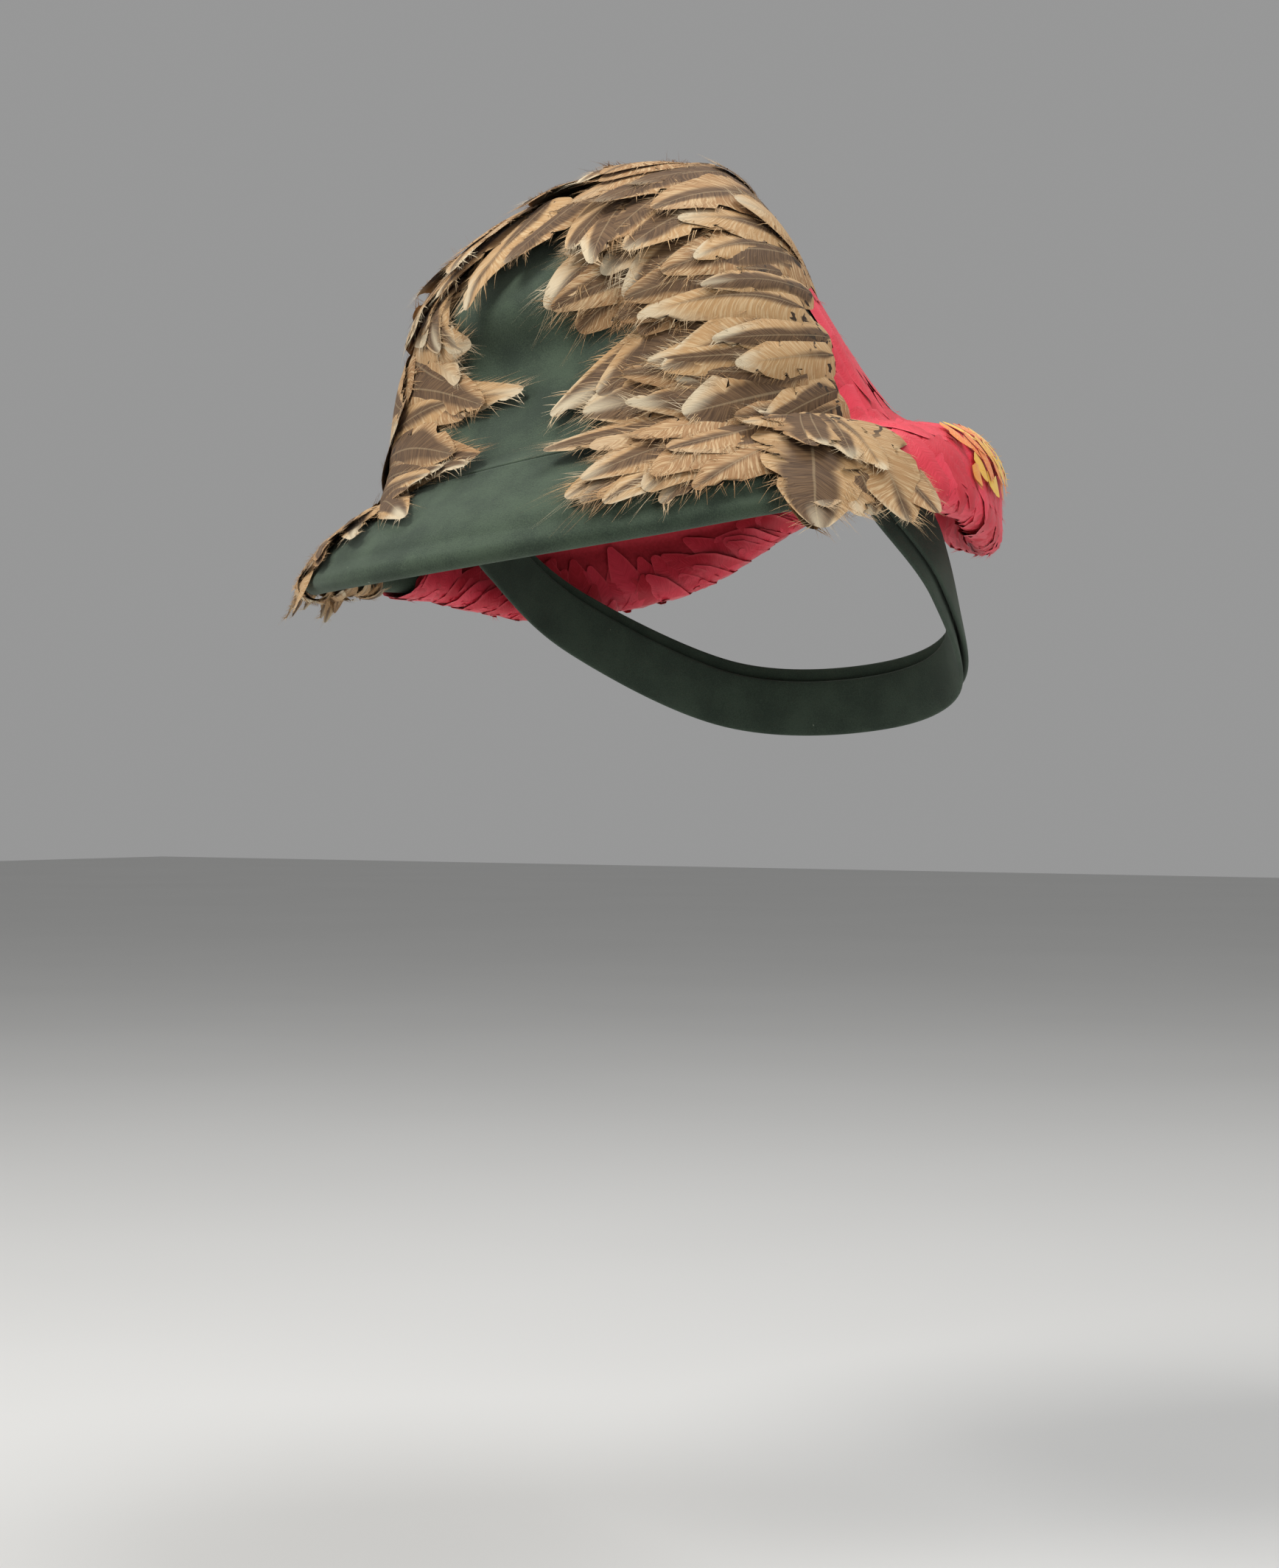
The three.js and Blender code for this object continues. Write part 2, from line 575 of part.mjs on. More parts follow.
// The strap's middle line, which starts flat against the crown's inside and goes round below the hat's back
function strapCurve() {
  const depth = FELT_THICKNESS + CLEARANCE + STRAP_THICKNESS / 2;
  const end = offFelt(STRAP_END_DEGREES, STRAP_END_STATION, -depth);
  const route = STRAP_ROUTE.map(({ across, back, down }) =>
    new THREE.Vector3(across * CROWN_HALF_WIDTH, back * STRAP_REACH, -down * STRAP_DROP));
  const half = [end, ...route];
  const other = half.slice(0, -1).reverse().map((point) => new THREE.Vector3(-point.x, point.y, point.z));
  return new THREE.CatmullRomCurve3([...half, ...other]);
}

// One ply of the strap: how far it lies inwards, and how far its lower edge steps out below
function strapPly(inwards, lower) {
  const curve = strapCurve();
  const middleBack = STRAP_ROUTE[0].back * STRAP_REACH;
  const rows = Array.from({ length: STRAP_STATIONS + 1 }, (_, i) => {
    const point = curve.getPointAt(i / STRAP_STATIONS);
    const along = curve.getTangentAt(i / STRAP_STATIONS);
    const reach = Math.max(point.y - middleBack, 0) / STRAP_REACH;
    const out = new THREE.Vector3(point.x / CROWN_HALF_WIDTH, reach, 0).normalize();
    out.addScaledVector(along, -out.dot(along)).normalize();
    const up = new THREE.Vector3().crossVectors(out, along).normalize();
    const centre = point.addScaledVector(out, -inwards).addScaledVector(up, -lower);
    const corner = (across, thick) => centre.clone()
      .addScaledVector(up, (across * STRAP_WIDTH) / 2)
      .addScaledVector(out, (thick * STRAP_THICKNESS) / 2);
    return [corner(-1, -1), corner(1, -1), corner(1, 1), corner(-1, 1)];
  });
  return closedStrip(rows);
}

const hat = new THREE.Group();

function addPiece(name, geometry, material) {
  geometry.computeVertexNormals();
  const piece = new THREE.Mesh(geometry, material);
  piece.name = name;
  hat.add(piece);
}

addPiece('crown', feltCrown(), FELT_GREEN);
addPiece('brim', feltBrim(), FELT_GREEN);
addPiece('brown_feathers', brownCovering(), FEATHER_BROWN);
addPiece('red_feathers', redCovering(), FEATHER_RED);
addPiece('yellow_tuft_left', yellowTuft(COVERED_YELLOW, YELLOW_ROWS), FEATHER_YELLOW);
const rightTuft = yellowTuft(mirroredSide(COVERED_YELLOW), mirroredRows(YELLOW_ROWS));
addPiece('yellow_tuft_right', rightTuft, FEATHER_YELLOW);
addPiece('strap_outer', fused([strapPly(0, 0)], CUT_FINENESS), STRAP_GREEN);
const innerPly = strapPly(STRAP_THICKNESS + PLY_GAP, STRAP_STEP_OUT);
addPiece('strap_inner', fused([innerPly], CUT_FINENESS), STRAP_GREEN);

// The hat tips forwards and to its right about the top of its inside.
const headSeat = new THREE.Vector3(0, 0, CROWN_HEIGHT - FELT_THICKNESS);
hat.position.copy(headSeat).negate();
const group = new THREE.Group();
group.rotation.set(degToRad(FORWARD_TILT), degToRad(-SIDE_TILT), 0, 'YXZ');
group.add(hat);

export default group;
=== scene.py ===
# A green felt tilt hat with brown, red and yellow feathers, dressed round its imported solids
import math
import random

import bmesh
import bpy
import numpy as np
from mathutils import Matrix, Vector
from mathutils.bvhtree import BVHTree


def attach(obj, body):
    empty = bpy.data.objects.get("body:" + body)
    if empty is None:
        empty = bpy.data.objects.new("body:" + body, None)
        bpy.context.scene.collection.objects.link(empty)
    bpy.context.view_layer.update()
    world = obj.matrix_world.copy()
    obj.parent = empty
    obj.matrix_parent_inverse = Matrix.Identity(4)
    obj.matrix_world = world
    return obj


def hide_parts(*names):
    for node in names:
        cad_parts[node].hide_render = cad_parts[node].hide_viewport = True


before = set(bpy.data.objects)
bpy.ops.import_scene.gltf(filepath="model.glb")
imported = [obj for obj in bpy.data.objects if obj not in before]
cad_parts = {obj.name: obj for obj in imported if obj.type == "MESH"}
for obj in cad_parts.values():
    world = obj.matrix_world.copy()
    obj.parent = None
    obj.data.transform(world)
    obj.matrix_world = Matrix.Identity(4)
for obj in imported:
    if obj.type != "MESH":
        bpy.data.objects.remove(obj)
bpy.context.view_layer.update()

# Felt body: the driving sizes of the solids. Lengths are in millimetres and angles in degrees. A station
# is a place on the profile: 0 at the crown's top, 1 at the seam and 2 at the brim's edge.
CROWN_HALF_WIDTH = 77
CROWN_HALF_LENGTH = 90
CROWN_HEIGHT = 84
BRIM_WIDTH = 24
BRIM_DROP = 25
FELT_THICKNESS = 2.2
HEM_THICKNESS = 4.4
HEM_WIDTH = 7
HEM_ROUND = 0.06
HEM_START = 2 - HEM_WIDTH / math.hypot(BRIM_WIDTH, BRIM_DROP)
HEM_SWELL = 0.8
HEM_CREASE = 0.14
SIDE_DIP = 6
DIP_DEGREES = -50
DIP_SHARPNESS = 3
FORWARD_TILT = 5.5
SIDE_TILT = 5.5
SEAM_GAP = 0.0055

# Strap below the hat's back: sizes in millimetres, an angle and a station for its ends, then counts
STRAP_WIDTH = 18
STRAP_THICKNESS = 2
STRAP_STEP_OUT = 4
PLY_GAP = 0.7
STRAP_REACH = 106
STRAP_DROP = 75
STRAP_END_DEGREES = 86
STRAP_END_STATION = 0.86
STRAP_GAP = 0.3
STRAP_STOPS = 121
STRAP_TURNS = 24
STRAP_SAMPLES = 400
STRAP_SQUARENESS = 0.5

# Feathers, in millimetres
BROWN_LENGTH = 68
BROWN_WIDTH = 25
RED_LENGTH = 26
RED_WIDTH = 12
YELLOW_LENGTH = 9
YELLOW_WIDTH = 5
GROUND_HEIGHT = 0.9
GROUND_THICKNESS = 0.4

# A vane's outline, in shares of its length or half width. Barbs stand in clumps, and curl by millimetres.
LEAF_START = 0.05
LEAF_SPAN = 0.93
ROOT_SHARE = 0.3
ROOT_TAPER = 0.14
VANE_BOW = 0.11
NOTCH_LENGTH = 0.018
BARB_CLUMP = 3
BARB_CURL = 1.4

# How a feather follows the felt, and how far it strays from its row
PATH_STEPS = 12
FELT_PULL = 1.2
EDGE_SLACK = 0.15
STRAY_SHARE = 0.3
STRAY_DEGREES = 2.5
STRAY_STATION = 0.03
STRAY_HEADING = 9
STRAY_BEND = 14
STRAY_LIFT = 0.8
LENGTH_RANGE = (0.85, 1.12)
WIDTH_RANGE = (0.85, 1.15)
RISE_RANGE = (0.3, 1.0)
STATION_RANGE = (0.05, 1.97)

# How finely the sheets are drawn: counts, the guide's last station, and a distance in millimetres
FELT_COLUMNS = 240
CROWN_OUTER_RINGS = 60
CROWN_INNER_RINGS = 50
BRIM_TOP_RINGS = 60
BRIM_EDGE_RINGS = 14
BRIM_UNDER_RINGS = 34
GUIDE_COLUMNS = 180
GUIDE_TOP_RINGS = 90
GUIDE_EDGE_RINGS = 40
GUIDE_END = 2.7
GROUND_COLUMNS = 110
GROUND_TOP_RINGS = 44
GROUND_EDGE_RINGS = 24
DOUBLES_DISTANCE = 0.02

# Colours of the felt and the feathers
FELT_DARK = (0.021, 0.035, 0.022)
FELT_LIGHT = (0.051, 0.077, 0.047)
FELT_SHEEN = (0.55, 0.65, 0.55, 1)
# The strap's felt is the hat's felt made darker: painted shade, for the shade the strap stands in under the
# hat's back
STRAP_SHADE_DARK = (0.019, 0.032, 0.021)
STRAP_SHADE_LIGHT = (0.038, 0.058, 0.039)
LINT = (0.16, 0.19, 0.14)
GOLD_DEEP = (0.32, 0.172, 0.072)
GOLD_PALE = (0.44, 0.262, 0.116)
GOLD_STREAK = (0.57, 0.405, 0.225)
BROWN_DEEP = (0.072, 0.038, 0.018)
BROWN_STREAK = (0.170, 0.098, 0.047)
BROWN_SPOT = (0.040, 0.024, 0.013)
QUILL = (0.50, 0.38, 0.22)
CREAM_TIP = (0.62, 0.53, 0.37)
RED_DEEP = (0.58, 0.016, 0.035)
RED_BRIGHT = (0.84, 0.045, 0.085)
RED_EDGE = (0.90, 0.10, 0.13)
# The red ground's reds are the feathers' red made darker: painted shade for the depths between the feathers
# and under the brim
GROUND_SHADE_DARK = (0.38, 0.010, 0.020)
GROUND_SHADE_LIGHT = (0.66, 0.030, 0.055)
ORANGE = (0.85, 0.20, 0.02)
YELLOW = (0.90, 0.52, 0.03)
YELLOW_STREAK = (0.9, 0.62, 0.12)
FLOOR_DARK = (0.62, 0.62, 0.61)
FLOOR_LIGHT = (0.66, 0.66, 0.65)

# Studio, in metres and watts, with the camera's lens and film width in millimetres
CAMERA_PLACE = (0.5167, -0.7277, -0.1755)
CAMERA_DEGREES = (90, 0, 35)
CAMERA_LENS = 68.5
CAMERA_FILM = 36
FLOOR_HEIGHT = -0.40
FLOOR_REACH = 6
LIGHT_AIM = (0, 0, -0.06)
WORLD_COLOUR = (0.82, 0.82, 0.82, 1)
WORLD_STRENGTH = 0.38
LIGHTS = [
    dict(name="key", place=(-0.35, -0.8, 1.05), size=0.6, power=16, colour=(1.0, 0.98, 0.95)),
    dict(name="side", place=(1.3, -0.5, 0.35), size=0.7, power=6, colour=(1, 1, 1)),
    dict(name="fill", place=(-1.2, -0.9, 0.3), size=0.8, power=5, colour=(1, 1, 1)),
    dict(name="top", place=(0.3, 0.3, 1.2), size=0.7, power=9, colour=(1, 1, 1)),
]

MILLIMETRE = 0.001
FRAME_STEP = 0.03

# A row for every 30 degrees from the front to the back, in shares of the crown's radius and height,
# and for the brim in shares of its width and drop
# crown: top r, z | shoulder r, z | wall r, z | foot r, z | seam z
# brim: middle out, down | roll out, down | edge out, down
PROFILES = np.array([
    [0.36, 0.84, 0.68, 0.58, 0.66, 0.36, 0.89, 0.10, 0.036, 0.50, 0.24, 0.96, 0.60, 1.29, 1.00],
    [0.37, 0.86, 0.69, 0.62, 0.76, 0.38, 0.93, 0.12, 0.036, 0.50, 0.20, 0.92, 0.56, 1.17, 0.96],
    [0.37, 0.90, 0.67, 0.72, 0.88, 0.44, 0.97, 0.13, 0.018, 0.42, 0.20, 0.71, 0.48, 0.92, 0.84],
    [0.37, 0.94, 0.62, 0.75, 0.82, 0.40, 0.95, 0.10, 0.000, 0.50, 0.16, 0.79, 0.50, 0.88, 0.96],
    [0.37, 0.96, 0.51, 0.74, 0.68, 0.36, 0.88, 0.07, 0.000, 0.52, 0.16, 0.79, 0.64, 0.67, 1.50],
    [0.36, 0.96, 0.47, 0.74, 0.63, 0.36, 0.86, 0.08, 0.000, 0.54, 0.16, 0.86, 0.60, 0.77, 1.32],
    [0.35, 0.96, 0.45, 0.74, 0.61, 0.36, 0.84, 0.08, 0.000, 0.54, 0.08, 0.92, 0.16, 1.08, 0.32],
])
PROFILE_DEGREES = 180 / (len(PROFILES) - 1)

# Rows of feathers: roots stand evenly between two places (degrees, station). A heading is an angle from
# straight down the profile towards larger angles. Length and width are shares of the kind's own sizes.
BROWN_LEFT_ROWS = [
    dict(count=9, start=(72, 0.34), end=(66, 0.90), headings=(-99, -80), length=1.0, width=0.95, lift=0.7),
    dict(count=6, start=(64, 0.98), end=(76, 1.10), headings=(-88, -82), length=1.18, width=0.85, lift=0.9),
    dict(count=9, start=(85, 0.34), end=(73, 0.93), headings=(-99, -76), length=0.85, width=0.95, lift=1.7),
    dict(count=6, start=(54, 1.02), end=(70, 1.14), headings=(-84, -78), length=0.80, width=0.75, lift=1.8),
    dict(count=7, start=(77, 0.44), end=(65, 0.92), headings=(-104, -80), length=0.80, width=0.62, lift=2.6),
    dict(count=8, start=(84, 0.50), end=(72, 0.98), headings=(-100, -72), length=0.55, width=0.50, lift=3.1),
]
BROWN_DROOPING_ROWS = [
    dict(count=5, start=(61, 1.32), end=(71, 1.28), headings=(-30, 0), length=0.48, width=0.9, lift=2.2),
    dict(count=3, start=(64, 1.16), end=(70, 1.16), headings=(-32, -8), length=0.62, width=1.1, lift=3.4),
    dict(count=4, start=(63, 1.08), end=(71, 1.08), headings=(-38, -8), length=0.36, width=0.7, lift=4.2),
]
BROWN_RIGHT_ROWS = [
    dict(count=9, start=(-92, 0.34), end=(-78, 0.98), headings=(96, 68), length=0.8, width=1.0, lift=0.6),
    dict(count=7, start=(-66, 0.32), end=(-58, 0.62), headings=(94, 82), length=0.84, width=0.75, lift=0.9),
    dict(count=5, start=(-54, 0.66), end=(-50, 0.84), headings=(104, 96), length=1.04, width=0.7, lift=1.4),
    dict(count=5, start=(-50, 0.88), end=(-48, 1.02), headings=(98, 90), length=0.96, width=0.65, lift=1.5),
    dict(count=6, start=(-45, 1.06), end=(-43, 1.34), headings=(94, 76), length=0.70, width=0.5, lift=1.5),
    dict(count=8, start=(-60, 1.1), end=(-72, 1.6), headings=(40, 0), length=0.4, width=0.6, lift=1.0),
]
BROWN_TIP_ROWS = [
    dict(count=8, start=(-56, 1.40), end=(-62, 1.82), headings=(60, 10), length=0.30, width=0.50, lift=0.8),
    dict(count=9, start=(-40, 1.34), end=(-37, 1.62), headings=(92, 70), length=0.42, width=0.46, lift=1.1),
    dict(count=9, start=(-36, 1.58), end=(-46, 1.84), headings=(74, 16), length=0.28, width=0.42, lift=1.2),
]
BROWN_HANGING_ROWS = [
    dict(count=8, start=(-34, 1.74), end=(-68, 1.82), headings=(30, -10), length=0.26, width=0.48, lift=1.2),
]
BROWN_TOP_ROWS = [
    dict(count=14, start=(94, 0.50), end=(266, 0.50), headings=(-98, -262), length=0.8, width=0.95, lift=2.6),
    dict(count=10, start=(100, 0.4), end=(260, 0.4), headings=(-104, -256), length=1.0, width=0.9, lift=3.8),
    dict(count=9, start=(96, 0.26), end=(264, 0.26), headings=(-96, -264), length=1.0, width=0.8, lift=4.6),
    dict(count=6, start=(74, 0.14), end=(-84, 0.16), headings=(-74, 84), length=0.72, width=0.7, lift=4.0),
]
RED_ROWS = [
    dict(count=28, start=(91, 0.46), end=(269, 0.46), headings=(8, -8), length=0.9, width=0.9, lift=1.0),
    dict(count=32, start=(88, 0.56), end=(272, 0.56), headings=(8, -8), length=1.0, width=1.0, lift=1.1),
    dict(count=34, start=(84, 0.66), end=(276, 0.66), headings=(10, -10), length=1.0, width=1.0, lift=1.2),
    dict(count=38, start=(78, 0.76), end=(282, 0.76), headings=(10, -10), length=1.0, width=1.0, lift=1.3),
    dict(count=42, start=(74, 0.86), end=(286, 0.86), headings=(12, -12), length=1.0, width=1.0, lift=1.4),
    dict(count=46, start=(71, 0.96), end=(289, 0.96), headings=(12, -12), length=0.9, width=1.0, lift=1.4),
    dict(count=48, start=(73, 1.10), end=(287, 1.10), headings=(14, -14), length=0.9, width=1.0, lift=1.5),
    dict(count=48, start=(80, 1.28), end=(280, 1.28), headings=(14, -14), length=0.9, width=1.0, lift=1.6),
    dict(count=50, start=(83, 1.46), end=(277, 1.46), headings=(14, -14), length=0.9, width=1.0, lift=1.7),
    dict(count=52, start=(85, 1.64), end=(275, 1.64), headings=(12, -12), length=0.95, width=1.0, lift=1.7),
    dict(count=54, start=(87, 1.80), end=(273, 1.80), headings=(10, -10), length=1.0, width=1.0, lift=1.6),
    dict(count=56, start=(88, 1.93), end=(272, 1.93), headings=(6, -6), length=1.1, width=1.0, lift=1.3),
]
YELLOW_ROWS = [
    dict(count=8, start=(102, 1.30), end=(121, 1.30), headings=(20, 10), length=1.0, width=1.0, lift=3.0),
    dict(count=8, start=(99, 1.44), end=(122, 1.44), headings=(20, 10), length=1.0, width=1.0, lift=3.2),
    dict(count=8, start=(98, 1.58), end=(122, 1.58), headings=(20, 10), length=0.9, width=1.0, lift=3.3),
    dict(count=7, start=(97, 1.70), end=(118, 1.70), headings=(16, 8), length=0.8, width=1.0, lift=3.2),
]
RED_GROUND = [
    dict(station=0.48, start=90, end=270),
    dict(station=0.93, start=74, end=286),
    dict(station=1.0, start=73, end=287),
    dict(station=1.4, start=82, end=278),
    dict(station=2.1, start=87, end=273),
    dict(station=2.5, start=96, end=264),
]
STRAP_ROUTE = [
    dict(across=0.935, back=0.12, down=0.20),
    dict(across=0.88, back=0.42, down=0.52),
    dict(across=0.56, back=0.85, down=0.90),
    dict(across=0, back=1, down=1),
]


def between(before, start, end, after, share):
    """A stretch of a smooth curve through rows of numbers."""
    slope = (end - before) * share
    bend = (2 * before - 5 * start + 4 * end - after) * share ** 2
    twist = (3 * start - before - 3 * end + after) * share ** 3
    return (2 * start + slope + bend + twist) / 2


def smooth_share(value, low, high):
    share = np.clip((value - low) / (high - low), 0, 1)
    return share * share * (3 - 2 * share)


def profile_shares(degrees):
    angle = np.abs((degrees + 180) % 360 - 180)
    last = len(PROFILES) - 1
    start = np.minimum(np.floor(angle / PROFILE_DEGREES).astype(int), last - 1)

    def row(i):
        return PROFILES[last - np.abs(last - np.abs(i))]

    share = (angle / PROFILE_DEGREES - start)[:, None]
    return between(row(start - 1), row(start), row(start + 1), row(start + 2), share)


def along_knots(knots, share):
    """A place along knots that carry one more knot before the first and after the last."""
    spans = knots.shape[1] - 3
    start = np.clip(np.floor(share * spans).astype(int), 0, spans - 1)
    rows = np.arange(len(start))
    near = [knots[rows, start + step] for step in range(4)]
    return between(*near, (share * spans - start)[:, None])


def hat_surface(degrees, station):
    """Points on the felt's outside, in the hat's own millimetres."""
    degrees, station = np.broadcast_arrays(np.asarray(degrees, float), np.asarray(station, float))
    shares = profile_shares(degrees)
    angle = np.radians(degrees)
    radius = 1 / np.hypot(np.sin(angle) / CROWN_HALF_WIDTH, np.cos(angle) / CROWN_HALF_LENGTH)
    crown = [np.stack([shares[:, i] * radius, shares[:, i + 1] * CROWN_HEIGHT], 1) for i in (0, 2, 4, 6)]
    top = np.stack([np.zeros_like(radius), np.full_like(radius, CROWN_HEIGHT)], 1)
    seam = np.stack([radius, shares[:, 8] * CROWN_HEIGHT], 1)
    brim = [
        np.stack([radius + shares[:, i] * BRIM_WIDTH, -shares[:, i + 1] * BRIM_DROP], 1)
        for i in (9, 11, 13)
    ]
    crown_knots = np.stack([crown[0] * [-1, 1], top, *crown, seam, 2 * seam - crown[3]], 1)
    brim_knots = np.stack([2 * seam - brim[0], seam, *brim, 2 * brim[2] - brim[1]], 1)
    on_crown = along_knots(crown_knots, np.clip(station, 0, 1))
    on_brim = along_knots(brim_knots, np.clip(station - 1, 0, 1))
    r, z = np.where((station <= 1)[:, None], on_crown, on_brim).T
    towards = ((1 + np.cos(np.radians(degrees - DIP_DEGREES))) / 2) ** DIP_SHARPNESS
    fade = np.where(station < 1, smooth_share(station, 0.5, 1), 1 - smooth_share(station, 1, 2))
    return np.stack([np.sin(angle) * r, -np.cos(angle) * r, z - SIDE_DIP * towards * fade], 1)


def unit(vectors):
    return vectors / np.linalg.norm(vectors, axis=1, keepdims=True)


def surface_frame(degrees, station):
    """Directions down the profile, around the crown and out of the felt."""
    at = np.clip(station, FRAME_STEP, 2 - FRAME_STEP / 2)
    above = hat_surface(degrees, at - FRAME_STEP)
    below = hat_surface(degrees, np.minimum(at + FRAME_STEP, 2))
    down = unit(below - above)
    around = unit(hat_surface(degrees + 1, at) - hat_surface(degrees - 1, at))
    return down, around, -unit(np.cross(around, down))


def off_felt(degrees, station, distance):
    return hat_surface(degrees, station) + surface_frame(degrees, station)[2] * distance


def felt_thickness(station):
    share = float(smooth_share(station, HEM_START - 3 * HEM_ROUND, HEM_START))
    return FELT_THICKNESS + (HEM_THICKNESS - FELT_THICKNESS) * share


def round_edge(degrees, station, distance):
    """A ring of points off the felt. Past station 2 it goes on round the brim's edge and back below."""
    degrees = np.asarray(degrees, float)
    top_end = 2 - HEM_ROUND
    if station <= top_end:
        return off_felt(degrees, np.full_like(degrees, station), distance)
    if station >= 2 + HEM_ROUND:
        above = 4 - station
        return off_felt(degrees, np.full_like(degrees, above), -felt_thickness(above) - distance)
    turn = (station - top_end) / (2 * HEM_ROUND) * math.pi
    at = np.full_like(degrees, top_end)
    down, _, out = surface_frame(degrees, at)
    centre = off_felt(degrees, at, -HEM_THICKNESS / 2)
    radius = HEM_THICKNESS / 2 + distance
    return centre + out * math.cos(turn) * radius + down * math.sin(turn) * radius


# The hat tips forwards and to its right about the top of its inside.
POSE = Matrix.Rotation(math.radians(-SIDE_TILT), 3, "Y") @ Matrix.Rotation(math.radians(FORWARD_TILT), 3, "X")
POSE_ROWS = np.array(POSE)
SEAT = np.array([0, 0, CROWN_HEIGHT - FELT_THICKNESS])


def as_worn(points):
    """Turns the hat's millimetres into the frame's metres."""
    return (np.asarray(points) - SEAT) @ POSE_ROWS.T * MILLIMETRE


def store(name, bm, material, smooth=True):
    mesh = bpy.data.meshes.new(name)
    bm.to_mesh(mesh)
    bm.free()
    piece = bpy.data.objects.new(name, mesh)
    bpy.context.scene.collection.objects.link(piece)
    mesh.materials.append(material)
    if smooth:
        mesh.shade_smooth()
    return piece


def sheet_of_rings(columns, stations, ring_at, closed):
    """A grid wrapped round the hat, one ring of points for each station."""
    bm = bmesh.new()
    bmesh.ops.create_grid(bm, x_segments=columns, y_segments=len(stations) - 1, size=1)
    rows = {}
    for vert in bm.verts:
        rows.setdefault(round((vert.co.y + 1) / 2 * (len(stations) - 1)), []).append(vert)
    for i, station in enumerate(stations):
        ring = sorted(rows[i], key=lambda vert: vert.co.x)
        shares = np.array([(vert.co.x + 1) / 2 for vert in ring])
        for vert, point in zip(ring, as_worn(ring_at(shares, station))):
            vert.co = point
    bmesh.ops.remove_doubles(bm, verts=bm.verts, dist=DOUBLES_DISTANCE * MILLIMETRE)
    if closed:
        bmesh.ops.recalc_face_normals(bm, faces=bm.faces)
    return bm


def hem_swell(station):
    """How far the turned hem stands up off the brim, behind its pressed crease."""
    over = min(station, 4 - station)
    crease = HEM_CREASE * math.exp(-((over - HEM_START) / (0.8 * HEM_ROUND)) ** 2)
    return HEM_SWELL * float(smooth_share(over, HEM_START, HEM_START + 3 * HEM_ROUND)) - crease


def hemmed_ring(shares, station):
    return round_edge(shares * 360, station, hem_swell(station) if station < 2 + 4 * HEM_ROUND else 0)


def crown_ring(shares, station):
    """Stations up to 1 are outside; past it they come back up the inside."""
    if station <= 1 - SEAM_GAP:
        return off_felt(shares * 360, np.full_like(shares, station), 0)
    return off_felt(shares * 360, np.full_like(shares, 2 - station), -FELT_THICKNESS)


def make_felt(material):
    outer = np.linspace(0, 1 - SEAM_GAP, CROWN_OUTER_RINGS)
    inner = np.linspace(1 + SEAM_GAP, 2, CROWN_INNER_RINGS)
    stations = np.concatenate([outer, inner])
    crown = store("felt_crown", sheet_of_rings(FELT_COLUMNS, stations, crown_ring, True), material)
    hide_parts("crown")
    top = np.linspace(1 + SEAM_GAP, 2 - HEM_ROUND, BRIM_TOP_RINGS)
    edge = np.linspace(2 - HEM_ROUND, 2 + HEM_ROUND, BRIM_EDGE_RINGS)[1:-1]
    under = np.linspace(2 + HEM_ROUND, 3 - SEAM_GAP, BRIM_UNDER_RINGS)
    stations = np.concatenate([top, edge, under, [1 + SEAM_GAP]])
    brim = store("felt_brim", sheet_of_rings(FELT_COLUMNS, stations, hemmed_ring, True), material)
    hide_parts("brim")
    return crown, brim


def make_guide():
    """The felt's outside as one surface for the feathers to lie on."""
    top = np.linspace(0, 2 - HEM_ROUND, GUIDE_TOP_RINGS)
    edge = np.linspace(2 - HEM_ROUND, GUIDE_END, GUIDE_EDGE_RINGS)[1:]
    bm = sheet_of_rings(GUIDE_COLUMNS, np.concatenate([top, edge]), hemmed_ring, False)
    bmesh.ops.recalc_face_normals(bm, faces=bm.faces)
    bm.normal_update()
    tree = BVHTree.FromBMesh(bm)
    location, normal, _, _ = tree.find_nearest(Vector((0, 0, 1)))
    bm.free()
    return tree, 1 if normal.z > 0 else -1


def leaf_outline(share, root, roundness):
    """Half the vane's width at a share of its length, from the root to the tip."""
    body = np.sin(np.pi * np.clip(share * LEAF_SPAN + LEAF_START, 0, 1)) ** roundness
    taper = ROOT_SHARE + (1 - ROOT_SHARE) * smooth_share(share, 0, ROOT_TAPER)
    return (root * (1 - share) + (1 - root * 0.3) * body) * taper


def mark_vane(bm, vane, verts, marks):
    for face in {face for vert in verts for face in vert.link_faces}:
        for loop in face.loops:
            loop[vane].uv = marks[loop.vert]


